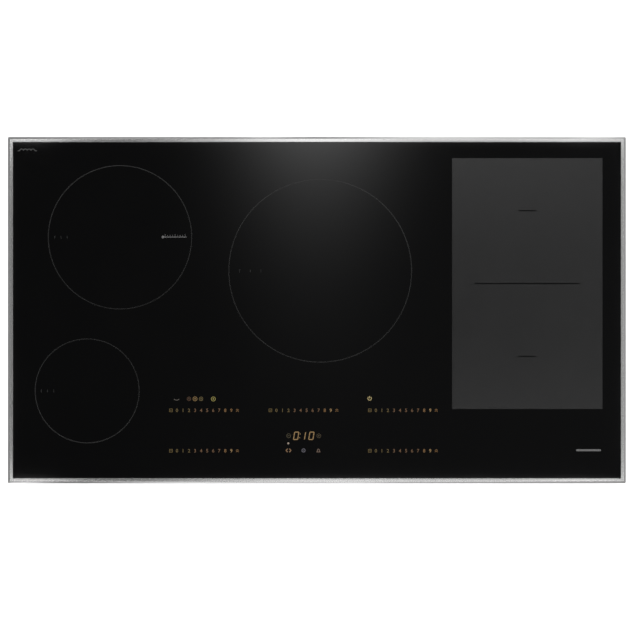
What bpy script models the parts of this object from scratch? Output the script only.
"""A framed built-in induction cooktop: glass, steel frame, casing, five induction coils and electronics.

The frame has +X to the user's right, +Y to the rear and +Z up. Its origin is at the middle of the casing's
underside, where the cooktop stands when it lies on a bench. Every size is in metres.
"""

import math

import bmesh
import bpy
from mathutils import Matrix, Vector

# ---------------------------------------------------------------- driving dimensions

# The frame's outline and the depth that the casing needs below the worktop's surface.
OVERALL_WIDTH = 0.942
OVERALL_DEPTH = 0.528
BUILD_IN_DEPTH = 0.051

# What two seated faces keep between them, and what a moving piece keeps to its guide.
SEAT_GAP = 0.0002
RUNNING_GAP = 0.0002

# The steel frame, folded from one sheet: a raised channel round the glass, a ledge under it and a leg inside.
FRAME_SHEET = 0.001
FRAME_BAND = 0.008
FRAME_SLOPE = 0.0032
FRAME_SLOPE_DROP = 0.0011
FRAME_EDGE_ROUND = 0.0005
FRAME_CORNER = 0.0025
FRAME_PROUD = 0.0006
LEG_HEIGHT = 0.0105

# The worktop's edge lies under this much of the frame, on a foam gasket.
FLANGE_OVERLAP = 0.013
GASKET_THICKNESS = 0.0016
GASKET_INSET = 0.0005

# The glass panel and the silicone bead that holds it.
GLASS_THICKNESS = 0.004
GLASS_EDGE_GAP = 0.0003
GLASS_EDGE_ROUND = 0.0004
BEAD_THICKNESS = 0.0006
BEAD_INSET = 0.0008

# The sheet-steel casing: a shallow rim for the coils and a deep pan for the electronics.
CASING_SHEET = 0.001
CASING_INSET = 0.018
CASING_CORNER = 0.006
SHELF_WIDTH = 0.032
BEND = 0.0012
COIL_CHAMBER = 0.021
SLOT_WIDTH = 0.0034
SLOT_PITCH = 0.008
OUTLET_SLOTS = 17
VENT_SLOTS = 9
SLOT_MARGIN = 0.007
RIM_SLOT_MARGIN = 0.006
RIM_SLOTS_X = 0.150
FLOOR_SLOT_ROWS = ((-0.150, -0.105), (-0.090, -0.045))
WIRE_HOLE = (0.060, 0.010, 0.020)
LEAD_HOLE_RADIUS = 0.009
LEAD_HOLES = [(-0.165, 0.160), (-0.165, -0.020), (0.176, 0.160), (0.176, -0.020)]

# The cooking zones: their sizes, and how far their centres lie from the frame's edges or from the middle.
REAR_LEFT_DIAMETER = 0.220
REAR_LEFT_FROM_LEFT = 0.171
REAR_LEFT_FROM_REAR = 0.153
FRONT_LEFT_DIAMETER = 0.160
FRONT_LEFT_FROM_LEFT = 0.121
FRONT_LEFT_FROM_FRONT = 0.141
CENTRE_DIAMETER = 0.280
CENTRE_X = 0.005
CENTRE_FROM_REAR = 0.204
FLEX_WIDTH = 0.230
FLEX_DEPTH = 0.382
FLEX_FROM_RIGHT = 0.1505
FLEX_FROM_REAR = 0.2235
FLEX_COIL_SPACE = 0.006

# The coils and what they lie on, from the glass downwards.
MICA_THICKNESS = 0.0006
COIL_HEIGHT = 0.004
COIL_BORE = 0.036
COIL_EDGE = 0.004
CENTRE_SPLIT = 0.178
CENTRE_SPLIT_SPACE = 0.008
FORMER_DISC = 0.0022
FERRITE_HEIGHT = 0.0035
FERRITE_WIDTH = 0.010
PLATE_THICKNESS = 0.0015
PLATE_MARGIN = 0.002
PLATE_CORNER = 0.010
PLATE_SENSOR_HOLE = 0.006
FORMER_BORE = 0.0045
FORMER_MARGIN = 0.002
RIB_MARGIN = 0.006
SENSOR_RADIUS = 0.007
SENSOR_HOLE = 0.010

# The sprung carriers: crossed leaf springs between the shield and each coil plate.
SHIELD_THICKNESS = 0.001
SPRING_THICKNESS = 0.0008
SPRING_WIDTH = 0.014
SPRING_TIP_INSET = 0.020
RIVET_RADIUS = 0.004
RIVET_HEAD = 0.0008

# The electronics in the deep pan.
BOARD_THICKNESS = 0.0016
BOARD_STANDOFF = 0.0045
BOARD_WIDTH = 0.250
BOARD_DEPTH = 0.230
BOARD_SPREAD = 0.285
BOARD_FROM_FRONT = 0.186
CONNECTOR_INSET = 0.016
CONNECTOR_HEIGHT = 0.009
SINK_WIDTH = 0.078
SINK_DEPTH = 0.190
SINK_FINS = 11
SINK_BASE = 0.004
SINK_FIN = 0.0016
SOLDER_DEPTH = 0.0004
PILLAR_RADIUS = 0.004
PILLAR_INSET = 0.010
BOARD_CORNER = 0.004
FILTER_WIDTH = 0.190
FILTER_DEPTH = 0.110
FILTER_Y = 0.115
FAN_SIDE = 0.116
FAN_ROTOR_RADIUS = 0.042
FAN_INTAKE_RADIUS = 0.034
FAN_WALL = 0.0025
FAN_BLADES = 13
FAN_PIN_RADIUS = 0.003
FAN_BLADE_LENGTH = 0.018
FAN_BLADE_THICKNESS = 0.0016
FAN_BLADE_LEAN = 35
FAN_HUB_RADIUS = 0.015
FAN_CAVITY_SPACE = 0.008
FAN_FROM_BOARD = 0.010
HEAD_ROOM = 0.0015

# The touch controls behind the glass.
CONTROL_X = -0.0203
CONTROL_FROM_FRONT = 0.086
CONTROL_WIDTH = 0.430
CONTROL_DEPTH = 0.098
CARRIER_HEIGHT = 0.010
CARRIER_WALL = 0.0015
CARRIER_FOOT_RADIUS = 0.0045
CARRIER_FOOT_INSET = 0.012
LIGHT_BAR_DEPTH = 0.008
SCALE_SPACING = 0.1515
SCALE_LENGTH = 0.110
UPPER_SCALE_FROM_FRONT = 0.1113
LOWER_SCALE_FROM_FRONT = 0.0500
DISPLAY_FROM_FRONT = 0.0723
DISPLAY_WIDTH = 0.044
DISPLAY_DEPTH = 0.020
DISPLAY_WINDOWS = 4
RIBBON_WIDTH = 0.026
RIBBON_THICKNESS = 0.0008
RIBBON_HOLE = (0.036, 0.010)
RIBBON_BEHIND_CARRIER = 0.008
RIBBON_UNDER_GLASS = 0.0016
RIBBON_START = 0.0335
RIBBON_SEAT = 0.0003
RIBBON_SOCKET_DEPTH = 0.0032
SOCKET_WALL = 0.0015

# The mains connection box behind the deep pan.
TERMINAL_WIDTH = 0.120
TERMINAL_WALL = 0.002
TERMINAL_FOOT_SPACE = 0.0015
TERMINAL_FROM_RIM = 0.0035
LID_THICKNESS = 0.002
HINGE_RADIUS = 0.0018
HINGE_EAR = 0.0025
GLAND_RADIUS = 0.0095
GLAND_NECK_WALL = 0.0015
CABLE_RADIUS = 0.0065
TERMINALS = 5
TERMINAL_BLOCK_LENGTH = 0.072
TERMINAL_BLOCK_HEIGHT = 0.008

# The hold-down clamps and the screws.
CLAMP_FROM_RIM = 0.0095
CLAMP_FROM_END = 0.114
CLAMP_LENGTH = 0.048
CLAMP_WIDTH = 0.014
CLAMP_THICKNESS = 0.002
CLAMP_HEIGHT = 0.006
CLAMP_BOSS_RADIUS = 0.0045
CLAMP_BOSS_HEIGHT = 0.0035
CLAMP_SCREW_RADIUS = 0.0025
CLAMP_HEAD_RADIUS = 0.0052
CLAMP_HEAD_HEIGHT = 0.0036
CLAMP_SCREW_TIP = 0.0042
CLAW_HEIGHT = 0.004
CLAW_THICKNESS = 0.0024
CLAW_FROM_END = 0.006
CASING_SCREW_RADIUS = 0.0018
CASING_SCREW_FROM_END = 0.171
CASING_SCREW_LENGTH = 0.0065
CASING_HEAD_RADIUS = 0.0036
CASING_HEAD_HEIGHT = 0.0022

# How finely round shapes are cut.
CORNER_STEPS = 3
LARGE_STEPS = 32
FAN_STEPS = 28
SMALL_STEPS = 14

# ---------------------------------------------------------------- levels and places worked out from them

LEDGE_Z = BUILD_IN_DEPTH + GASKET_THICKNESS + SEAT_GAP
BEAD_Z = LEDGE_Z + FRAME_SHEET + SEAT_GAP
GLASS_Z = BEAD_Z + BEAD_THICKNESS + SEAT_GAP
GLASS_TOP = GLASS_Z + GLASS_THICKNESS
FRAME_TOP = GLASS_TOP + FRAME_PROUD

MICA_Z = GLASS_Z - SEAT_GAP - MICA_THICKNESS
COIL_Z = MICA_Z - SEAT_GAP - COIL_HEIGHT
FORMER_TOP = COIL_Z - SEAT_GAP
FERRITE_SINK = 0.0002
FORMER_Z = FORMER_TOP - FORMER_DISC - FERRITE_HEIGHT + FERRITE_SINK
PLATE_Z = FORMER_Z - SEAT_GAP - PLATE_THICKNESS

RIM_Z = LEDGE_Z - SEAT_GAP
SHELF_Z = BUILD_IN_DEPTH - COIL_CHAMBER
SHIELD_Z = SHELF_Z + CASING_SHEET + SEAT_GAP
SHIELD_TOP = SHIELD_Z + SHIELD_THICKNESS
SPRING_Z = SHIELD_TOP + SEAT_GAP
SPRING_TOP = PLATE_Z - SEAT_GAP

RIBBON_CREST = GLASS_Z - RIBBON_UNDER_GLASS
LEG_INSET = CASING_INSET + CASING_SHEET + SEAT_GAP
PAN_INSET = CASING_INSET + SHELF_WIDTH
PAN_HALF_DEPTH = OVERALL_DEPTH / 2 - PAN_INSET
FLOOR_Z = CASING_SHEET + SEAT_GAP
CEILING_Z = SHIELD_Z - HEAD_ROOM
BOARD_Z = FLOOR_Z + BOARD_STANDOFF
BOARD_Y = BOARD_FROM_FRONT - OVERALL_DEPTH / 2
BOARD_TOP = BOARD_Z + BOARD_THICKNESS
SOLDER_Z = BOARD_THICKNESS / 2 - SOLDER_DEPTH
FAN_Y = BOARD_Y + BOARD_DEPTH / 2 + FAN_SIDE / 2 + FAN_FROM_BOARD

LEFT, RIGHT = -OVERALL_WIDTH / 2, OVERALL_WIDTH / 2
FRONT, REAR = -OVERALL_DEPTH / 2, OVERALL_DEPTH / 2
ZONE_REAR_LEFT = (LEFT + REAR_LEFT_FROM_LEFT, REAR - REAR_LEFT_FROM_REAR, REAR_LEFT_DIAMETER)
ZONE_FRONT_LEFT = (LEFT + FRONT_LEFT_FROM_LEFT, FRONT + FRONT_LEFT_FROM_FRONT, FRONT_LEFT_DIAMETER)
ZONE_CENTRE = (CENTRE_X, REAR - CENTRE_FROM_REAR, CENTRE_DIAMETER)
FLEX_CENTRE = (RIGHT - FLEX_FROM_RIGHT, REAR - FLEX_FROM_REAR)
CONTROL_CENTRE = (CONTROL_X, FRONT + CONTROL_FROM_FRONT)
SCALE_ROWS = (FRONT + UPPER_SCALE_FROM_FRONT, FRONT + LOWER_SCALE_FROM_FRONT)
DISPLAY_Y = FRONT + DISPLAY_FROM_FRONT

UP = Vector((0, 0, 1))


# ---------------------------------------------------------------- modelling helpers


def clear_scene():
    for obj in list(bpy.data.objects):
        bpy.data.objects.remove(obj)


def collection(name):
    made = bpy.data.collections.new(name)
    bpy.context.scene.collection.children.link(made)
    return made


def material(name, colour, roughness, metallic=0.0):
    made = bpy.data.materials.new(name)
    made.use_nodes = True
    shader = made.node_tree.nodes["Principled BSDF"]
    shader.inputs["Base Color"].default_value = (*colour, 1)
    shader.inputs["Roughness"].default_value = roughness
    shader.inputs["Metallic"].default_value = metallic
    return made


clear_scene()
PARTS = collection("induction_cooktop")
CUTTERS = collection("cutters")

GLASS = material("black_glass", (0.012, 0.012, 0.013), 0.08)
STEEL = material("brushed_steel", (0.62, 0.62, 0.61), 0.32, 1.0)
ZINC = material("zinc_sheet", (0.55, 0.57, 0.58), 0.45, 1.0)
FOAM = material("black_foam", (0.03, 0.03, 0.03), 0.9)
SILICONE = material("black_silicone", (0.02, 0.02, 0.02), 0.6)
ALUMINIUM = material("aluminium", (0.78, 0.78, 0.79), 0.35, 1.0)
COPPER = material("copper_litz", (0.72, 0.38, 0.2), 0.4, 1.0)
FORMER = material("former_plastic", (0.12, 0.12, 0.13), 0.6)
MICA = material("mica", (0.62, 0.56, 0.42), 0.5)
SPRING_STEEL = material("spring_steel", (0.4, 0.41, 0.43), 0.3, 1.0)
BOARD = material("circuit_board", (0.03, 0.2, 0.09), 0.5)
BLACK_PLASTIC = material("black_plastic", (0.025, 0.025, 0.027), 0.5)
GREY_PLASTIC = material("grey_plastic", (0.45, 0.46, 0.47), 0.5)
WHITE_CERAMIC = material("white_ceramic", (0.85, 0.84, 0.8), 0.4)
RIBBON = material("ribbon_cable", (0.55, 0.56, 0.58), 0.5)


def add_object(name, mesh, colour=None, origin=(0, 0, 0)):
    """Links a mesh as a part, or as a hidden cutter where it has no colour."""
    obj = bpy.data.objects.new(name, mesh)
    obj.location = origin
    if colour:
        mesh.materials.append(colour)
        PARTS.objects.link(obj)
    else:
        CUTTERS.objects.link(obj)
        obj.hide_render = True
        obj.display_type = "WIRE"
    return obj


def mesh_from(name, bm):
    bmesh.ops.recalc_face_normals(bm, faces=bm.faces)
    mesh = bpy.data.meshes.new(name)
    bm.to_mesh(mesh)
    bm.free()
    mesh.shade_smooth()
    mesh.set_sharp_from_angle(angle=math.radians(35))
    return mesh


def add_block(bm, low, high, turn=None):
    """Adds a box between two corners, turned by a matrix where one is given."""
    low, high = Vector(low), Vector(high)
    place = Matrix.Translation((low + high) / 2) @ Matrix.Diagonal((*(high - low), 1))
    bmesh.ops.create_cube(bm, size=1, matrix=turn @ place if turn else place)


def add_cylinder(bm, radius, low_z, high_z, at=(0, 0), steps=SMALL_STEPS, turn=None):
    """Adds an upright cylinder, turned by a matrix where one is given."""
    place = Matrix.Translation((*at, (low_z + high_z) / 2))
    bmesh.ops.create_cone(
        bm,
        cap_ends=True,
        segments=steps,
        radius1=radius,
        radius2=radius,
        depth=high_z - low_z,
        matrix=turn @ place if turn else place,
    )


def along(axis, at):
    """The matrix that lays the Z axis along another axis, through a point."""
    return Matrix.Translation(at) @ UP.rotation_difference(Vector(axis)).to_matrix().to_4x4()


def cutter(name, fill, origin=(0, 0, 0)):
    """A hidden helper made by fill(bm)."""
    bm = bmesh.new()
    fill(bm)
    return add_object(name, mesh_from(name, bm), origin=origin)


def boolean(obj, other, operation):
    modifier = obj.modifiers.new(operation.lower(), "BOOLEAN")
    modifier.operation = operation
    modifier.object = other
    modifier.solver = "EXACT"
    modifier.use_self = True


def solid(name, colour, fill, origin=(0, 0, 0), join=None, cut=None):
    """A part made by fill(bm); join and cut are like functions for what is joined to it and cut from it."""
    bm = bmesh.new()
    fill(bm)
    obj = add_object(name, mesh_from(name, bm), colour, origin)
    if join:
        boolean(obj, cutter(f"{name}_join", join, origin), "UNION")
    if cut:
        boolean(obj, cutter(f"{name}_cut", cut, origin), "DIFFERENCE")
    return obj


def rounded_rectangle(width, depth, radius, at=(0, 0), steps=CORNER_STEPS):
    """The outline's points, anticlockwise, with an arc of steps + 1 points at each corner."""
    points = []
    for corner, (sx, sy) in enumerate(((1, 1), (-1, 1), (-1, -1), (1, -1))):
        centre_x = at[0] + sx * (width / 2 - radius)
        centre_y = at[1] + sy * (depth / 2 - radius)
        for step in range(steps + 1):
            angle = math.pi / 2 * (corner + step / steps)
            points.append((centre_x + radius * math.cos(angle), centre_y + radius * math.sin(angle)))
    return points


def circle(radius, at=(0, 0), steps=SMALL_STEPS):
    angles = (2 * math.pi * step / steps for step in range(steps))
    return [(at[0] + radius * math.cos(a), at[1] + radius * math.sin(a)) for a in angles]


def swept_round(name, profile, colour, corner, capped=False, cut=None, join=None):
    """A section swept round the cooktop's outline. Each profile point is (inset from the outline, height).

    The outer corner's radius shrinks with the inset, so every section has its own corners. A closed profile
    gives a ring, and a capped one a pan whose first and last sections are filled.
    """
    bm = bmesh.new()
    rings = []
    for inset, height in profile:
        radius = max(corner(inset), FRAME_EDGE_ROUND)
        outline = rounded_rectangle(OVERALL_WIDTH - 2 * inset, OVERALL_DEPTH - 2 * inset, radius)
        rings.append([bm.verts.new((x, y, height)) for x, y in outline])
    pairs = list(zip(rings, rings[1:]))
    if capped:
        bm.faces.new(rings[0])
        bm.faces.new(rings[-1])
    else:
        pairs.append((rings[-1], rings[0]))
    for one, two in pairs:
        for index in range(len(one)):
            bm.faces.new((one[index - 1], one[index], two[index], two[index - 1]))
    obj = add_object(name, mesh_from(name, bm), colour)
    if join:
        boolean(obj, cutter(f"{name}_join", join), "UNION")
    if cut:
        boolean(obj, cutter(f"{name}_cut", cut), "DIFFERENCE")
    return obj


def sheet(name, colour, outlines, low_z, thickness, origin=(0, 0)):
    """A flat plate: the first outline is its edge and the others are holes in it."""
    curve = bpy.data.curves.new(name, "CURVE")
    curve.dimensions = "2D"
    curve.fill_mode = "BOTH"
    curve.extrude = thickness / 2
    for outline in outlines:
        spline = curve.splines.new("POLY")
        spline.points.add(len(outline) - 1)
        for point, (x, y) in zip(spline.points, outline):
            point.co = (x - origin[0], y - origin[1], 0, 1)
        spline.use_cyclic_u = True
    curve.materials.append(colour)
    obj = bpy.data.objects.new(name, curve)
    obj.location = (*origin, low_z + thickness / 2)
    PARTS.objects.link(obj)
    return obj


def as_mesh(obj):
    """Turns a curve part into a mesh part, so that it can be cut and joined."""
    bpy.context.view_layer.update()
    evaluated = obj.evaluated_get(bpy.context.evaluated_depsgraph_get())
    mesh = bpy.data.meshes.new_from_object(evaluated)
    bm = bmesh.new()
    bm.from_mesh(mesh)
    bmesh.ops.remove_doubles(bm, verts=bm.verts, dist=0.000001)
    bm.to_mesh(mesh)
    bm.free()
    name, place = obj.name, obj.matrix_world.copy()
    bpy.data.objects.remove(obj)
    made = bpy.data.objects.new(name, mesh)
    made.matrix_world = place
    PARTS.objects.link(made)
    return made


def turned(name, profile, colour, origin, steps=LARGE_STEPS):
    """A profile of (radius, height) points turned about Z, from the top down its outer side."""
    bm = bmesh.new()
    points = [bm.verts.new((radius, 0, height)) for radius, height in profile]
    closed = profile[0][0] > 0
    for one, two in zip(points, points[1:] + points[:1] if closed else points[1:]):
        bm.edges.new((one, two))
    mesh = bpy.data.meshes.new(name)
    bm.to_mesh(mesh)
    bm.free()
    obj = add_object(name, mesh, colour, origin)
    screw = obj.modifiers.new("turn", "SCREW")
    screw.steps = screw.render_steps = steps
    screw.use_merge_vertices = True
    screw.merge_threshold = 0.00001
    screw.use_smooth_shade = False
    return obj


# ---------------------------------------------------------------- glass, frame and gasket


def frame_corner(inset):
    """The frame's folds have sharp corners, but its leg follows the casing's rounded ones."""
    in_casing = inset >= LEG_INSET
    return CASING_CORNER + CASING_INSET - inset if in_casing else FRAME_CORNER - inset


def casing_corner(inset):
    wall = CASING_INSET if inset < CASING_INSET + SHELF_WIDTH / 2 else PAN_INSET
    return CASING_CORNER + wall - inset


def casing_screw_places():
    """Where the four screws through the casing's long walls enter, and which way they point."""
    wall = OVERALL_DEPTH / 2 - CASING_INSET
    height = RIM_Z - LEG_HEIGHT / 2
    x = RIGHT - CASING_SCREW_FROM_END
    return {
        f"{row}_{side}": (Vector((sx * x, sy * wall, height)), Vector((0, -sy, 0)))
        for row, sy in (("front", -1), ("rear", 1))
        for side, sx in (("left", -1), ("right", 1))
    }


def casing_screw_holes(bm):
    radius, reach = CASING_SCREW_RADIUS + SEAT_GAP, CASING_SCREW_LENGTH - 0.0005
    for at, axis in casing_screw_places().values():
        add_cylinder(bm, radius, -reach, reach, steps=SMALL_STEPS // 2, turn=along(axis, at))


def make_frame():
    sheet_t = FRAME_SHEET
    slope_z = FRAME_TOP - FRAME_SLOPE_DROP
    leg_in = LEG_INSET + sheet_t
    profile = [
        (0, LEDGE_Z),
        (0, slope_z - FRAME_EDGE_ROUND),
        (FRAME_EDGE_ROUND * 0.3, slope_z - FRAME_EDGE_ROUND * 0.3),
        (FRAME_EDGE_ROUND, slope_z),
        (FRAME_SLOPE, FRAME_TOP),
        (FRAME_BAND - FRAME_EDGE_ROUND * 0.4, FRAME_TOP),
        (FRAME_BAND, FRAME_TOP - FRAME_EDGE_ROUND * 0.4),
        (FRAME_BAND, LEDGE_Z + sheet_t),
        (leg_in, LEDGE_Z + sheet_t),
        (leg_in, LEDGE_Z - LEG_HEIGHT),
        (LEG_INSET, LEDGE_Z - LEG_HEIGHT),
        (LEG_INSET, LEDGE_Z),
        (FRAME_BAND - sheet_t, LEDGE_Z),
        (FRAME_BAND - sheet_t, FRAME_TOP - sheet_t),
        (FRAME_SLOPE + sheet_t * 0.1, FRAME_TOP - sheet_t),
        (sheet_t, slope_z - sheet_t),
        (sheet_t, LEDGE_Z),
    ]
    swept_round("steel_frame", profile, STEEL, frame_corner, cut=casing_screw_holes)


def make_glass():
    width = OVERALL_WIDTH - 2 * (FRAME_BAND + GLASS_EDGE_GAP)
    depth = OVERALL_DEPTH - 2 * (FRAME_BAND + GLASS_EDGE_GAP)
    centre = Vector((0, 0, (GLASS_Z + GLASS_TOP) / 2))
    half = Vector((width, depth, GLASS_THICKNESS)) / 2
    glass = solid("glass_panel", GLASS, lambda bm: add_block(bm, -half, half), centre)
    edge = glass.modifiers.new("ground_edge", "BEVEL")
    edge.width = GLASS_EDGE_ROUND
    edge.segments = 2


def ring_outlines(outer_inset, inner_inset, corner):
    return [
        rounded_rectangle(OVERALL_WIDTH - 2 * inset, OVERALL_DEPTH - 2 * inset, max(corner - inset, 0.001))
        for inset in (outer_inset, inner_inset)
    ]


def make_gasket_and_bead():
    gasket = ring_outlines(GASKET_INSET, FLANGE_OVERLAP - GASKET_INSET, FRAME_CORNER)
    sheet("worktop_gasket", FOAM, gasket, BUILD_IN_DEPTH, GASKET_THICKNESS)
    bead = ring_outlines(FRAME_BAND + BEAD_INSET, LEG_INSET, FRAME_CORNER)
    sheet("glass_adhesive", SILICONE, bead, BEAD_Z, BEAD_THICKNESS)


# ---------------------------------------------------------------- casing


def clamp_places():
    """The four clamp screws' axes, in the shelf at each side, beside the coil plates."""
    x = RIGHT - CASING_INSET - CLAMP_FROM_RIM
    y = REAR - CLAMP_FROM_END
    return {
        f"{row}_{side}": (sx * x, sy * y)
        for row, sy in (("front", -1), ("rear", 1))
        for side, sx in (("left", -1), ("right", 1))
    }


def fan_places():
    return {"left": (-BOARD_SPREAD, FAN_Y), "right": (BOARD_SPREAD, FAN_Y)}


def slot_row(bm, count, centre_x, low, high):
    """A row of slots along X. low and high are the (y, z) corners that each slot runs between."""
    for index in range(count):
        x = centre_x + (index - (count - 1) / 2) * SLOT_PITCH
        half = SLOT_WIDTH / 2
        add_block(bm, (x - half, low[0], low[1]), (x + half, high[0], high[1]))


def casing_cuts(bm):
    """Air intakes under the fans, outlets in the front wall and floor, screw holes and the wiring hole."""
    through = 4 * CASING_SHEET
    count = int(2 * FAN_INTAKE_RADIUS / SLOT_PITCH)
    for x, y in fan_places().values():
        for index in range(count):
            offset = (index - (count - 1) / 2) * SLOT_PITCH
            reach = math.sqrt(FAN_INTAKE_RADIUS**2 - offset**2)
            low = (x + offset - SLOT_WIDTH / 2, y - reach, -through)
            high = (x + offset + SLOT_WIDTH / 2, y + reach, through)
            add_block(bm, low, high)
    front, outlet_top = -PAN_HALF_DEPTH, SHELF_Z - SLOT_MARGIN
    for x in (-BOARD_SPREAD, BOARD_SPREAD):
        slot_row(bm, OUTLET_SLOTS, x, (front - through, SLOT_MARGIN), (front + through, outlet_top))
    for row_front, row_rear in FLOOR_SLOT_ROWS:
        slot_row(bm, VENT_SLOTS, 0, (row_front, -through), (row_rear, through))
    rim_wall = OVERALL_DEPTH / 2 - CASING_INSET
    low, high = SHELF_Z + RIM_SLOT_MARGIN, RIM_Z - RIM_SLOT_MARGIN
    for x in (-RIM_SLOTS_X, RIM_SLOTS_X):
        slot_row(bm, VENT_SLOTS, x, (rim_wall - through, low), (rim_wall + through, high))
    casing_screw_holes(bm)
    for at in clamp_places().values():
        add_cylinder(bm, CLAMP_SCREW_RADIUS + RUNNING_GAP, SHELF_Z - through, SHELF_Z + 2 * through, at)
    width, low, high = WIRE_HOLE
    add_block(bm, (-width / 2, PAN_HALF_DEPTH - through, low), (width / 2, PAN_HALF_DEPTH + through, high))


def clamp_bosses(bm):
    """The threaded bosses welded on the shelf for the clamp screws."""
    for at in clamp_places().values():
        foot, top = SHELF_Z + CASING_SHEET / 2, SHELF_Z + CASING_SHEET + CLAMP_BOSS_HEIGHT
        add_cylinder(bm, CLAMP_BOSS_RADIUS, foot, top, at, steps=6)


def make_casing():
    t = CASING_SHEET
    outside = [
        (CASING_INSET, RIM_Z),
        (CASING_INSET, SHELF_Z + BEND),
        (CASING_INSET + BEND, SHELF_Z),
        (PAN_INSET - BEND, SHELF_Z),
        (PAN_INSET, SHELF_Z - BEND),
        (PAN_INSET, BEND),
        (PAN_INSET + BEND, 0),
    ]
    inside = [
        (CASING_INSET + t, RIM_Z),
        (CASING_INSET + t, SHELF_Z + t + BEND / 2),
        (CASING_INSET + t + BEND / 2, SHELF_Z + t),
        (PAN_INSET - BEND / 2 + t, SHELF_Z + t),
        (PAN_INSET + t, SHELF_Z + t - BEND / 2),
        (PAN_INSET + t, t + BEND / 2),
        (PAN_INSET + t + BEND / 2, t),
    ]
    profile = outside[::-1] + inside
    swept_round("casing_tray", profile, ZINC, casing_corner, True, casing_cuts, clamp_bosses)


def make_shield():
    """The plate between the coils and the electronics, which lies on the casing's shelf."""
    inset = LEG_INSET + FRAME_SHEET + SEAT_GAP
    edge = rounded_rectangle(OVERALL_WIDTH - 2 * inset, OVERALL_DEPTH - 2 * inset, CASING_CORNER)
    clamp_hole = CLAMP_BOSS_RADIUS + 0.001
    holes = [circle(clamp_hole, at, SMALL_STEPS) for at in clamp_places().values()]
    holes.append(rounded_rectangle(*RIBBON_HOLE, RIBBON_HOLE[1] / 5, ribbon_place()))
    holes += [circle(LEAD_HOLE_RADIUS, at, SMALL_STEPS // 2) for at in LEAD_HOLES]
    sheet("shield_plate", ALUMINIUM, [edge, *holes], SHIELD_Z, SHIELD_THICKNESS)


# ---------------------------------------------------------------- coils and their carriers


def flex_coils():
    """The centres and the size of the two coils under the rectangular zone."""
    depth = (FLEX_DEPTH - FLEX_COIL_SPACE) / 2
    offset = (depth + FLEX_COIL_SPACE) / 2
    centres = {"flex_rear": offset, "flex_front": -offset}
    return {name: (FLEX_CENTRE[0], FLEX_CENTRE[1] + dy) for name, dy in centres.items()}, depth


def round_coil(name, zone, outer, inner):
    profile = [
        (inner, COIL_HEIGHT),
        (outer - 0.001, COIL_HEIGHT),
        (outer, COIL_HEIGHT - 0.001),
        (outer, 0.001),
        (outer - 0.001, 0),
        (inner, 0),
    ]
    turned(name, profile, COPPER, (zone[0], zone[1], COIL_Z))


def flex_coil(name, centre, depth):
    """A coil wound on a rounded rectangle: a flat ring with the same build all round."""
    outer_w, outer_d = FLEX_WIDTH - 2 * COIL_EDGE, depth - 2 * COIL_EDGE
    build = (outer_d - COIL_BORE) / 2
    outer = rounded_rectangle(outer_w, outer_d, 0.055, centre, 6)
    inner = rounded_rectangle(outer_w - 2 * build, COIL_BORE, COIL_BORE / 2 - 0.001, centre, 6)
    sheet(name, COPPER, [outer, inner], COIL_Z, COIL_HEIGHT, centre)


def former(name, centre, outline, spokes):
    """The coil's plastic disc, with its hub and the ferrite bars in their ribs underneath."""
    disc_z = FORMER_TOP - FORMER_DISC
    obj = as_mesh(sheet(name, FORMER, [outline, circle(FORMER_BORE, centre)], disc_z, FORMER_DISC, centre))
    middle = obj.location.z

    def ribs(bm):
        add_cylinder(bm, COIL_BORE / 2, FORMER_Z - middle, disc_z + FERRITE_SINK - middle)
        for angle, reach in spokes:
            turn = Matrix.Rotation(angle, 4, "Z")
            low = (COIL_BORE / 2 - 0.004, -FERRITE_WIDTH / 2, FORMER_Z - middle)
            add_block(bm, low, (reach, FERRITE_WIDTH / 2, disc_z + FERRITE_SINK - middle), turn)

    def bore(bm):
        add_cylinder(bm, FORMER_BORE, -COIL_BORE / 2, COIL_BORE / 2)

    boolean(obj, cutter(f"{name}_join", ribs, obj.location), "UNION")
    boolean(obj, cutter(f"{name}_cut", bore, obj.location), "DIFFERENCE")


def round_former(name, zone, count=8):
    radius = zone[2] / 2 - FORMER_MARGIN
    spokes = [(2 * math.pi * index / count, radius - RIB_MARGIN) for index in range(count)]
    former(name, zone[:2], circle(radius, zone[:2], LARGE_STEPS), spokes)


def flex_former(name, centre, depth):
    width, length = FLEX_WIDTH - 2 * FORMER_MARGIN, depth - 2 * FORMER_MARGIN
    outline = rounded_rectangle(width, length, 0.050, centre, 6)
    half_w, half_d = FLEX_WIDTH / 2 - 2 * RIB_MARGIN, depth / 2 - 2 * RIB_MARGIN
    spokes = []
    for index in range(8):
        angle = math.pi / 4 * index
        reach = min(half_w / max(abs(math.cos(angle)), 0.01), half_d / max(abs(math.sin(angle)), 0.01))
        spokes.append((angle, min(reach, math.hypot(half_w, half_d) - 4 * RIB_MARGIN)))
    former(name, centre, outline, spokes)


def sensor(name, centre):
    """The temperature sensor's ceramic cap, which stands on the former and touches the glass."""
    height = GLASS_Z - SEAT_GAP - COIL_Z
    profile = [
        (0, height),
        (SENSOR_RADIUS - 0.001, height),
        (SENSOR_RADIUS, height - 0.001),
        (SENSOR_RADIUS, 0.0015),
        (COIL_BORE / 2 - 0.004, 0.0015),
        (COIL_BORE / 2 - 0.004, 0),
        (0, 0),
    ]
    turned(name, profile, WHITE_CERAMIC, (*centre, COIL_Z), SMALL_STEPS)


def plate_and_mica(side, outline, sensors):
    """The aluminium plate under a group of coils and the mica sheet over them."""
    plate_holes = [circle(PLATE_SENSOR_HOLE, at) for at in sensors]
    sheet(f"coil_plate_{side}", ALUMINIUM, [outline, *plate_holes], PLATE_Z, PLATE_THICKNESS)
    mica_holes = [circle(SENSOR_HOLE, at) for at in sensors]
    sheet(f"mica_sheet_{side}", MICA, [outline, *mica_holes], MICA_Z, MICA_THICKNESS)


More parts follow.
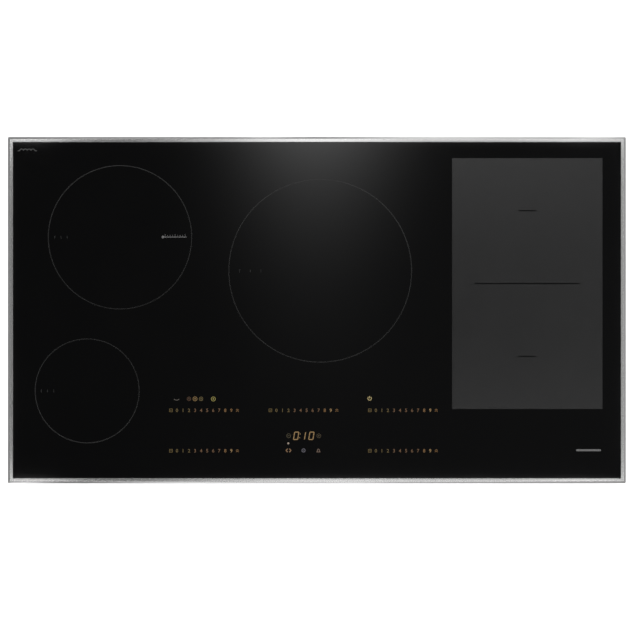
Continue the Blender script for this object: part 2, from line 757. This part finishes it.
def leaf_profile(reach, rise, lift):
    """The side view of one bowed strip, flat at its middle and at its raised tips."""
    flat, lip, bends = 0.012, 0.010, 6
    points = [(0, 0)]
    for step in range(bends + 1):
        share = step / bends
        points.append((flat + (reach - lip - flat) * share, rise * share * share * (3 - 2 * share)))
    points.append((reach, rise))
    lower = [(-x, z) for x, z in reversed(points[1:])] + points
    upper = [(x, z + SPRING_THICKNESS) for x, z in reversed(lower)]
    return [(x, z + lift) for x, z in lower + upper]


def carrier_spring(name, centre, half_x, half_y):
    """Two bowed strips crossed and riveted at the middle; their tips carry the coil plate's corners."""
    overlap = SPRING_THICKNESS / 2
    height = SPRING_TOP - SPRING_Z - SPRING_THICKNESS
    reach = math.hypot(half_x, half_y)
    strips = []
    for lift, slant in ((0, 1), (overlap, -1)):
        outline = leaf_profile(reach, height - lift, lift)
        strip_name = f"{name}_strip" if strips else name
        strip = as_mesh(sheet(strip_name, SPRING_STEEL, [outline], 0, SPRING_WIDTH))
        turn = Matrix.Rotation(math.atan2(slant * half_y, half_x), 4, "Z")
        upright = Matrix.Rotation(math.pi / 2, 4, "X")
        middle = Matrix.Translation((0, 0, -SPRING_WIDTH / 2))
        strip.data.transform(turn @ upright @ middle @ strip.matrix_world)
        strip.matrix_world = Matrix.Translation((*centre, SPRING_Z))
        strips.append(strip)
    crossed = strips[1]
    PARTS.objects.unlink(crossed)
    CUTTERS.objects.link(crossed)
    crossed.hide_render = True
    crossed.display_type = "WIRE"
    boolean(strips[0], crossed, "UNION")
    top = SPRING_THICKNESS + overlap + RIVET_HEAD

    def rivet(bm):
        add_cylinder(bm, RIVET_RADIUS, SPRING_THICKNESS / 4, top)

    boolean(strips[0], cutter(f"{name}_rivet", rivet, strips[0].location), "UNION")


def left_outline():
    """The left plate is an L: its front arm stops short of the touch controls."""
    rear_x, rear_y, rear_d = ZONE_REAR_LEFT
    front_x, front_y, front_d = ZONE_FRONT_LEFT
    left = min(rear_x - rear_d / 2, front_x - front_d / 2) - PLATE_MARGIN
    right = rear_x + rear_d / 2 + PLATE_MARGIN
    step_x = front_x + front_d / 2 + PLATE_MARGIN
    top = rear_y + rear_d / 2 + PLATE_MARGIN
    bottom = front_y - front_d / 2 - PLATE_MARGIN
    step_y = rear_y - rear_d / 2 - PLATE_MARGIN
    return [(left, bottom), (step_x, bottom), (step_x, step_y), (right, step_y), (right, top), (left, top)]


def make_coils():
    for name, zone in (("rear_left", ZONE_REAR_LEFT), ("front_left", ZONE_FRONT_LEFT)):
        round_coil(f"coil_{name}", zone, zone[2] / 2 - COIL_EDGE, COIL_BORE / 2)
        round_former(f"coil_former_{name}", zone)
        sensor(f"sensor_{name}", zone[:2])
    split = CENTRE_SPLIT / 2
    round_coil("coil_centre_inner", ZONE_CENTRE, split, COIL_BORE / 2)
    round_coil("coil_centre_outer", ZONE_CENTRE, ZONE_CENTRE[2] / 2 - COIL_EDGE, split + CENTRE_SPLIT_SPACE)
    round_former("coil_former_centre", ZONE_CENTRE)
    sensor("sensor_centre", ZONE_CENTRE[:2])
    centres, depth = flex_coils()
    for name, centre in centres.items():
        flex_coil(f"coil_{name}", centre, depth)
        flex_former(f"coil_former_{name}", centre, depth)
        sensor(f"sensor_{name}", centre)

    plate_and_mica("left", left_outline(), [ZONE_REAR_LEFT[:2], ZONE_FRONT_LEFT[:2]])
    side = ZONE_CENTRE[2] + 2 * PLATE_MARGIN
    square = rounded_rectangle(side, side, PLATE_CORNER, ZONE_CENTRE[:2])
    plate_and_mica("centre", square, [ZONE_CENTRE[:2]])
    width, length = FLEX_WIDTH + 2 * PLATE_MARGIN, FLEX_DEPTH + 2 * PLATE_MARGIN
    oblong = rounded_rectangle(width, length, PLATE_CORNER, FLEX_CENTRE)
    plate_and_mica("right", oblong, list(centres.values()))

    tip = SPRING_TIP_INSET
    front_x, front_y, front_d = ZONE_FRONT_LEFT
    rear_top = ZONE_REAR_LEFT[1] + ZONE_REAR_LEFT[2] / 2
    front_bottom = front_y - front_d / 2
    left_centre = (front_x, (rear_top + front_bottom) / 2)
    carrier_spring("coil_spring_left", left_centre, front_d / 2 - tip, (rear_top - front_bottom) / 2 - tip)
    half = ZONE_CENTRE[2] / 2 - tip
    carrier_spring("coil_spring_centre", ZONE_CENTRE[:2], half, half)
    carrier_spring("coil_spring_right", FLEX_CENTRE, FLEX_WIDTH / 2 - tip, FLEX_DEPTH / 2 - tip)


# ---------------------------------------------------------------- electronics


def pillars(bm, half_x, half_y, middle_z):
    """The four standoffs that carry a board whose middle plane is at middle_z."""
    for sx in (-1, 1):
        for sy in (-1, 1):
            add_cylinder(bm, PILLAR_RADIUS, FLOOR_Z - middle_z, -SOLDER_Z, (sx * half_x, sy * half_y), 8)


def stand(bm, corner, size, room):
    """A block that stands on a board. Its height counts from the board's middle plane and stops at the room."""
    x, y = corner
    add_block(bm, (x, y, SOLDER_Z), (x + size.x, y + size.y, min(size.z, room)))


def make_power_board(side, x):
    """A power board with its standoffs, capacitors, relays, choke and sockets, one soldered assembly."""
    centre = Vector((x, BOARD_Y, BOARD_Z + BOARD_THICKNESS / 2))
    outline = rounded_rectangle(BOARD_WIDTH, BOARD_DEPTH, BOARD_CORNER, centre[:2])
    board = as_mesh(sheet(f"power_board_{side}", BOARD, [outline], BOARD_Z, BOARD_THICKNESS, centre[:2]))
    room = CEILING_Z - centre.z
    half_w, half_d = BOARD_WIDTH / 2, BOARD_DEPTH / 2

    def components(bm):
        pillars(bm, half_w - PILLAR_INSET, half_d - PILLAR_INSET, centre.z)
        # A row of film capacitors on one side of the heatsink and a row of relays on the other.
        beside_sink = SINK_WIDTH / 2 + 0.012
        capacitor, relay = Vector((0.032, 0.018, 0.022)), Vector((0.022, 0.026, 0.019))
        row_front, row_pitch = -0.095, 0.042
        for index in range(4):
            y = row_front + index * row_pitch
            stand(bm, (beside_sink, y), capacitor, room)
            stand(bm, (-beside_sink - relay.x, y), relay, room)
        # The filter choke and the smoothing capacitor behind them.
        round_y, round_inset = 0.085, 0.021
        add_cylinder(bm, 0.015, SOLDER_Z, min(0.020, room), (half_w - round_inset, round_y))
        add_cylinder(bm, 0.012, SOLDER_Z, min(0.020, room), (round_inset - half_w, round_y))
        # The sockets for the coils' leads, along the rear edge.
        socket, socket_pitch = Vector((0.024, 0.008, 0.009)), 0.036
        for index in range(3):
            stand(bm, (-0.050 + index * socket_pitch, half_d - 0.012), socket, room)
        ribbon_socket = Vector((RIBBON_WIDTH + 2 * SOCKET_WALL, 0.006, SOLDER_Z + CONNECTOR_HEIGHT))
        socket_x, socket_y = CONNECTOR_INSET - half_w, ribbon_place()[1] - BOARD_Y
        stand(bm, (socket_x - ribbon_socket.x / 2, socket_y - ribbon_socket.y / 2), ribbon_socket, room)

    boolean(board, cutter(f"{board.name}_join", components, board.location), "UNION")


def make_heatsink(side, x):
    """An extruded comb of fins that stands on the board in the fan's air stream."""
    height = CEILING_Z - BOARD_TOP - SEAT_GAP
    pitch = (SINK_WIDTH - SINK_FIN) / (SINK_FINS - 1)
    outline = [(-SINK_WIDTH / 2, 0), (SINK_WIDTH / 2, 0)]
    for index in reversed(range(SINK_FINS)):
        left = -SINK_WIDTH / 2 + index * pitch
        outline += [(left + SINK_FIN, height), (left, height)]
        if index:
            outline += [(left, SINK_BASE), (left - pitch + SINK_FIN, SINK_BASE)]
    comb = sheet(f"heatsink_{side}", ALUMINIUM, [outline], 0, SINK_DEPTH)
    comb.rotation_euler = (math.pi / 2, 0, 0)
    comb.location = (x, BOARD_Y, BOARD_TOP + SEAT_GAP)


def make_fan(side, at):
    """A radial blower: air comes up through the casing's floor and leaves forwards, through the heatsink."""
    x, y = at
    height = CEILING_Z - FLOOR_Z
    half = FAN_SIDE / 2
    roof = height - FAN_WALL
    origin = (x, y, FLOOR_Z)

    def body(bm):
        add_block(bm, (-half, -half, 0), (half, half, height))

    def cavity(bm):
        add_cylinder(bm, FAN_ROTOR_RADIUS + FAN_CAVITY_SPACE, FAN_WALL, roof, steps=FAN_STEPS)

    def outlet(bm):
        lip = 0.0004
        low = (-SINK_WIDTH / 2, -half - FAN_WALL, FAN_WALL + lip)
        add_block(bm, low, (SINK_WIDTH / 2, 0, roof - lip))

    def intake(bm):
        add_cylinder(bm, FAN_INTAKE_RADIUS, -FAN_WALL, 2 * FAN_WALL, steps=FAN_STEPS)

    housing = solid(f"fan_housing_{side}", BLACK_PLASTIC, body, origin)
    for name, fill in (("cavity", cavity), ("outlet", outlet), ("intake", intake)):
        boolean(housing, cutter(f"{housing.name}_{name}", fill, origin), "DIFFERENCE")
    pin_foot, pin_end = roof + FAN_WALL / 3, FAN_WALL + 0.003

    def axle(bm):
        add_cylinder(bm, FAN_PIN_RADIUS, pin_end, pin_foot)

    boolean(housing, cutter(f"{housing.name}_pin", axle, origin), "UNION")

    low, high = FAN_WALL + 0.0015, roof - 0.0010
    disc = 0.0016
    half_blade, half_sheet = FAN_BLADE_LENGTH / 2, FAN_BLADE_THICKNESS / 2
    lean = Matrix.Rotation(math.radians(FAN_BLADE_LEAN), 4, "Z")
    blade_place = Matrix.Translation((FAN_ROTOR_RADIUS * 0.76, 0, 0)) @ lean

    def rotor(bm):
        add_cylinder(bm, FAN_ROTOR_RADIUS, high - disc, high, steps=FAN_STEPS)

    def blades(bm):
        blade_top = high - disc / 2
        add_cylinder(bm, FAN_HUB_RADIUS, low, blade_top)
        for index in range(FAN_BLADES):
            turn = Matrix.Rotation(2 * math.pi * index / FAN_BLADES, 4, "Z") @ blade_place
            add_block(bm, (-half_blade, -half_sheet, low), (half_blade, half_sheet, blade_top), turn)

    def bore(bm):
        add_cylinder(bm, FAN_PIN_RADIUS + RUNNING_GAP, low - disc, high + disc)

    solid(f"fan_rotor_{side}", GREY_PLASTIC, rotor, origin, blades, bore)


def make_filter_board():
    """The mains filter behind the middle of the casing: chokes, capacitors and fuses on one board."""
    centre = Vector((0, FILTER_Y, BOARD_Z + BOARD_THICKNESS / 2))
    outline = rounded_rectangle(FILTER_WIDTH, FILTER_DEPTH, BOARD_CORNER, centre[:2])
    board = as_mesh(sheet("mains_filter_board", BOARD, [outline], BOARD_Z, BOARD_THICKNESS, centre[:2]))
    room = CEILING_Z - centre.z

    def components(bm):
        pillars(bm, FILTER_WIDTH / 2 - PILLAR_INSET, FILTER_DEPTH / 2 - PILLAR_INSET, centre.z)
        choke_radius, choke_x, choke_y = 0.017, 0.060, 0.010
        for side in (-1, 1):
            add_cylinder(bm, choke_radius, SOLDER_Z, min(0.018, room), (side * choke_x, choke_y))
        capacitor, pitch = Vector((0.012, 0.036, 0.018)), 0.018
        for index in range(4):
            stand(bm, (-0.034 + index * pitch, -0.030), capacitor, room)
        fuse_radius, fuse_pitch, fuse_y = 0.0035, 0.022, 0.030
        for index in (-1, 0, 1):
            add_cylinder(bm, fuse_radius, SOLDER_Z, 0.0085, (index * fuse_pitch, fuse_y), 8)

    boolean(board, cutter(f"{board.name}_join", components, board.location), "UNION")


# ---------------------------------------------------------------- touch controls


def scale_rows():
    """The centres of the five number scales; the middle column has only the upper one, over the display."""
    upper, lower = SCALE_ROWS
    x = CONTROL_CENTRE[0]
    columns = (x - SCALE_SPACING, x, x + SCALE_SPACING)
    return [(column, upper) for column in columns] + [(columns[0], lower), (columns[2], lower)]


def ribbon_place():
    """Where the ribbon cable drops through the shield, behind the controls and over the right power board."""
    board_edge = BOARD_SPREAD - BOARD_WIDTH / 2
    return board_edge + CONNECTOR_INSET, CONTROL_CENTRE[1] + CONTROL_DEPTH / 2 + RIBBON_BEHIND_CARRIER


def make_controls():
    x, y = CONTROL_CENTRE
    half_w, half_d = CONTROL_WIDTH / 2, CONTROL_DEPTH / 2
    wall = CARRIER_WALL
    top = GLASS_Z - SEAT_GAP
    floor = top - CARRIER_HEIGHT
    above = 2 * CARRIER_HEIGHT
    origin = Vector((x, y, floor))

    def tray(bm):
        add_block(bm, (-half_w, -half_d, 0), (half_w, half_d, top - floor))

    def hollow(bm):
        add_block(bm, (wall - half_w, wall - half_d, wall), (half_w - wall, half_d - wall, above))
        notch_x = ribbon_place()[0] - x
        notch = RIBBON_WIDTH / 2 + 0.001
        sill = RIBBON_CREST - RIBBON_THICKNESS - floor
        add_block(bm, (notch_x - notch, 0, sill), (notch_x + notch, half_d + wall, above))

    def feet(bm):
        for sx in (-1, 0, 1):
            for sy in (-1, 1):
                at = (sx * (half_w - CARRIER_FOOT_INSET), sy * (half_d - CARRIER_FOOT_INSET))
                add_cylinder(bm, CARRIER_FOOT_RADIUS, SHIELD_TOP + SEAT_GAP - floor, wall / 2, at, 10)

    carrier = solid("control_carrier", BLACK_PLASTIC, tray, origin, cut=hollow)
    boolean(carrier, cutter("control_carrier_feet", feet, origin), "UNION")

    board_z = floor + wall + SEAT_GAP
    edge = wall + 0.001
    outline = rounded_rectangle(CONTROL_WIDTH - 2 * edge, CONTROL_DEPTH - 2 * edge, 0.002, (x, y))
    board = as_mesh(sheet("control_board", BOARD, [outline], board_z, BOARD_THICKNESS, (x, y)))
    light_top = top - SEAT_GAP - board.location.z

    def light_bars(bm):
        bar = Vector((SCALE_LENGTH, LIGHT_BAR_DEPTH, light_top))
        for bar_x, bar_y in scale_rows():
            stand(bm, (bar_x - x - bar.x / 2, bar_y - y - bar.y / 2), bar, light_top)
        socket = Vector((RIBBON_WIDTH + 2 * SOCKET_WALL, RIBBON_SOCKET_DEPTH, 0.0035))
        socket_at = (ribbon_place()[0] - x - socket.x / 2, RIBBON_START - RIBBON_SEAT - socket.y)
        stand(bm, socket_at, socket, light_top)

    boolean(board, cutter("control_board_join", light_bars, board.location), "UNION")

    display_z = board_z + BOARD_THICKNESS + SEAT_GAP
    display_height = top - SEAT_GAP - display_z
    half_x, half_y = DISPLAY_WIDTH / 2, DISPLAY_DEPTH / 2

    def display(bm):
        add_block(bm, (-half_x, -half_y, 0), (half_x, half_y, display_height))

    def windows(bm):
        margin, half_window, recess = 0.003, 0.0075, 0.0008
        pitch = (DISPLAY_WIDTH - 2 * margin) / DISPLAY_WINDOWS
        for index in range(DISPLAY_WINDOWS):
            left = margin - half_x + index * pitch
            low = (left, -half_window, display_height - recess)
            add_block(bm, low, (left + pitch - 0.001, half_window, display_height + recess))

    solid("display_module", GREY_PLASTIC, display, (x, DISPLAY_Y, display_z), cut=windows)

    make_ribbon(board_z + BOARD_THICKNESS)


def make_ribbon(board_top):
    """The flat cable from the control board, over the carrier's wall and down to the right power board."""
    x, hole_y = ribbon_place()
    start_y = CONTROL_CENTRE[1] + RIBBON_START
    low_z = BOARD_TOP - SOLDER_DEPTH + CONNECTOR_HEIGHT + SEAT_GAP
    crest = RIBBON_CREST
    path = [
        (start_y, board_top + 0.0006),
        (start_y + 0.0040, board_top + 0.0012),
        (start_y + 0.0085, crest - 0.0010),
        (start_y + 0.0120, crest),
        (hole_y - 0.003, crest),
        (hole_y, crest - 0.003),
        (hole_y, low_z),
    ]
    upper, lower = [], []
    for index, point in enumerate(path):
        before = Vector(path[max(index - 1, 0)])
        after = Vector(path[min(index + 1, len(path) - 1)])
        ahead = (after - before).normalized()
        side = Vector((-ahead.y, ahead.x)) * RIBBON_THICKNESS / 2
        upper.append(tuple(Vector(point) + side))
        lower.append(tuple(Vector(point) - side))
    strip = sheet("control_ribbon_cable", RIBBON, [lower + upper[::-1]], 0, RIBBON_WIDTH)
    strip.rotation_euler = (math.pi / 2, 0, math.pi / 2)
    strip.location = (x, 0, 0)


# ---------------------------------------------------------------- mains connection


def terminal_bounds():
    """The connection box's outer corners: under the rear shelf, behind the deep pan."""
    low = Vector((-TERMINAL_WIDTH / 2, PAN_HALF_DEPTH + SEAT_GAP, TERMINAL_FOOT_SPACE))
    back = OVERALL_DEPTH / 2 - CASING_INSET - TERMINAL_FROM_RIM - LID_THICKNESS
    high = Vector((TERMINAL_WIDTH / 2, back, SHELF_Z - BEND - SEAT_GAP))
    return low, high


def make_terminal_box():
    low, high = terminal_bounds()
    wall = TERMINAL_WALL
    origin = low.copy()
    size = high - low
    hinge_y = size.y + LID_THICKNESS / 2 + RUNNING_GAP
    hinge_z = HINGE_RADIUS + 0.0006
    gland_at = Vector((0, size.y / 2, size.z / 2))
    ear = HINGE_EAR
    pin_radius = HINGE_RADIUS / 2
    lid_height = size.z - hinge_z - 2 * RUNNING_GAP
    reach = 0.003

    def shell(bm):
        add_block(bm, (0, 0, 0), size)

    def hollow(bm):
        add_block(bm, (wall, wall, wall), (size.x - wall, size.y + reach, size.z - wall))
        hole_width, hole_low, hole_high = WIRE_HOLE
        rim = 0.001
        half_hole = hole_width / 2 - 2 * rim
        low_hole = (size.x / 2 - half_hole, -reach, hole_low + rim - low.z)
        add_block(bm, low_hole, (size.x / 2 + half_hole, wall + reach, hole_high - rim - low.z))
        hole = along((1, 0, 0), gland_at)
        add_cylinder(bm, CABLE_RADIUS + GLAND_NECK_WALL, -reach, wall + reach, turn=hole)
        barrel = along((1, 0, 0), (0, hinge_y, hinge_z))
        add_cylinder(bm, HINGE_RADIUS + RUNNING_GAP, ear, size.x - ear, turn=barrel)

    def ears(bm):
        for side in (0, size.x - ear):
            low_ear = (side, size.y - reach, 0)
            add_block(bm, low_ear, (side + ear, hinge_y + HINGE_RADIUS, hinge_z + HINGE_RADIUS))

    def pin_holes(bm):
        hole = along((1, 0, 0), (0, hinge_y, hinge_z))
        add_cylinder(bm, pin_radius + RUNNING_GAP, -reach, size.x + reach, steps=8, turn=hole)

    box = solid("terminal_box", GREY_PLASTIC, shell, origin, cut=hollow)
    boolean(box, cutter("terminal_box_ears", ears, origin), "UNION")
    boolean(box, cutter("terminal_box_pin_holes", pin_holes, origin), "DIFFERENCE")

    # The lid turns on a barrel along its lower edge, between the box's ears.
    pivot = origin + Vector((size.x / 2, hinge_y, hinge_z))
    half = size.x / 2 - ear - RUNNING_GAP * 2
    lid_half = size.x / 2

    def panel(bm):
        inner = -LID_THICKNESS / 2
        add_block(bm, (-half, inner, 0), (half, -inner, lid_height))

    def lid_details(bm):
        barrel = along((1, 0, 0), (0, 0, 0))
        add_cylinder(bm, HINGE_RADIUS, -half, half, steps=12, turn=barrel)
        add_cylinder(bm, pin_radius, -lid_half, lid_half, steps=8, turn=barrel)
        wide_low = (-lid_half, -LID_THICKNESS / 2, 0.0045)
        add_block(bm, wide_low, (lid_half, LID_THICKNESS / 2 - 0.0002, lid_height - 0.0004))
        grip_z, grip_half, grip_out = lid_height - 0.0056, 0.010, 0.0026
        add_block(bm, (-grip_half, 0, grip_z), (grip_half, grip_out, grip_z + 0.0018))

    solid("terminal_box_lid", GREY_PLASTIC, panel, pivot, join=lid_details)

    make_terminal_block(origin, size)
    make_gland(origin + gland_at)


def make_terminal_block(origin, size):
    """Five screw terminals in one moulding, on the floor of the connection box."""
    length, depth, height = TERMINAL_BLOCK_LENGTH, size.y - 2 * TERMINAL_WALL - 0.004, TERMINAL_BLOCK_HEIGHT
    at = origin + Vector((size.x / 2 + 0.008, TERMINAL_WALL + depth / 2 + 0.001, TERMINAL_WALL + SEAT_GAP))

    def moulding(bm):
        add_block(bm, (-length / 2, -depth / 2, 0), (length / 2, depth / 2, height))

    def wells(bm):
        well_radius = 0.0035
        for index in range(TERMINALS):
            x = (index - (TERMINALS - 1) / 2) * length / TERMINALS
            add_cylinder(bm, well_radius, height * 0.5, height * 1.25, (x, 0), 10)

    solid("terminal_block", WHITE_CERAMIC, moulding, at, cut=wells)


def make_gland(at):
    """The bush that lines the mains cable's hole in the box's end wall."""
    wall = TERMINAL_WALL
    outside, inside = 0.006, 0.003
    neck = CABLE_RADIUS + GLAND_NECK_WALL - SEAT_GAP
    profile = [
        (CABLE_RADIUS, outside),
        (GLAND_RADIUS - 0.001, outside),
        (GLAND_RADIUS, outside - 0.001),
        (GLAND_RADIUS, SEAT_GAP),
        (neck, SEAT_GAP),
        (neck, -wall - inside),
        (CABLE_RADIUS, -wall - inside),
    ]
    gland = turned("cable_gland", profile, BLACK_PLASTIC, at, 20)
    gland.rotation_euler = (0, -math.pi / 2, 0)


# ---------------------------------------------------------------- clamps and screws


def make_clamps():
    """Straps that swing out under the worktop; each rides up and down on the long screw that it turns on."""
    for place, (x, y) in clamp_places().items():
        pivot = Vector((x, y, 0))
        inwards = -1 if y > 0 else 1
        end = inwards * CLAMP_LENGTH
        tail = -inwards * CLAMP_WIDTH / 2
        middle, length = (end + tail) / 2, abs(end - tail)
        strap = rounded_rectangle(CLAMP_WIDTH, length, CLAMP_WIDTH / 2 - 0.0005, (x, y + middle), 4)
        hole = circle(CLAMP_SCREW_RADIUS + RUNNING_GAP, (x, y), 12)
        flat = sheet(f"clamp_arm_{place}", STEEL, [strap, hole], CLAMP_HEIGHT, CLAMP_THICKNESS, (x, y))
        arm = as_mesh(flat)
        tip = end - inwards * CLAW_FROM_END

        def claw(bm, tip=tip):
            half_width = CLAMP_WIDTH / 2 - CLAMP_THICKNESS
            low = (-half_width, tip - CLAW_THICKNESS / 2, 0)
            add_block(bm, low, (half_width, tip + CLAW_THICKNESS / 2, CLAMP_THICKNESS / 2 + CLAW_HEIGHT))

        boolean(arm, cutter(f"{arm.name}_claw", claw, arm.location), "UNION")

        top = SHELF_Z + CASING_SHEET + CLAMP_SCREW_TIP
        head, head_radius = CLAMP_HEAD_HEIGHT, CLAMP_HEAD_RADIUS
        head_top = CLAMP_HEIGHT - RUNNING_GAP
        profile = [
            (0, top),
            (CLAMP_SCREW_RADIUS - 0.0008, top),
            (CLAMP_SCREW_RADIUS, top - 0.001),
            (CLAMP_SCREW_RADIUS, head_top),
            (head_radius, head_top),
            (head_radius, head_top - head + 0.0008),
            (head_radius - 0.0008, head_top - head),
            (0, head_top - head),
        ]
        turned(f"clamp_screw_{place}", profile, SPRING_STEEL, pivot, 12)


def make_casing_screws():
    """Each screw's profile stands on the wall's face, with its head outside it."""
    head_radius, head, length = CASING_HEAD_RADIUS, CASING_HEAD_HEIGHT, CASING_SCREW_LENGTH
    for place, (at, axis) in casing_screw_places().items():
        profile = [
            (0, SEAT_GAP + head),
            (head_radius - 0.001, SEAT_GAP + head),
            (head_radius, SEAT_GAP + head - 0.001),
            (head_radius, SEAT_GAP),
            (CASING_SCREW_RADIUS, SEAT_GAP),
            (CASING_SCREW_RADIUS, 0.001 - length),
            (0, -length),
        ]
        screw = turned(f"casing_screw_{place}", profile, SPRING_STEEL, at, 12)
        screw.rotation_euler = UP.rotation_difference(-axis).to_euler()


# ---------------------------------------------------------------- the whole cooktop


def main():
    make_frame()
    make_glass()
    make_gasket_and_bead()
    make_casing()
    make_shield()
    make_coils()
    for side, sx in (("left", -1), ("right", 1)):
        make_power_board(side, sx * BOARD_SPREAD)
        make_heatsink(side, sx * BOARD_SPREAD)
        make_fan(side, fan_places()[side])
    make_filter_board()
    make_controls()
    make_terminal_box()
    make_clamps()
    make_casing_screws()


main()
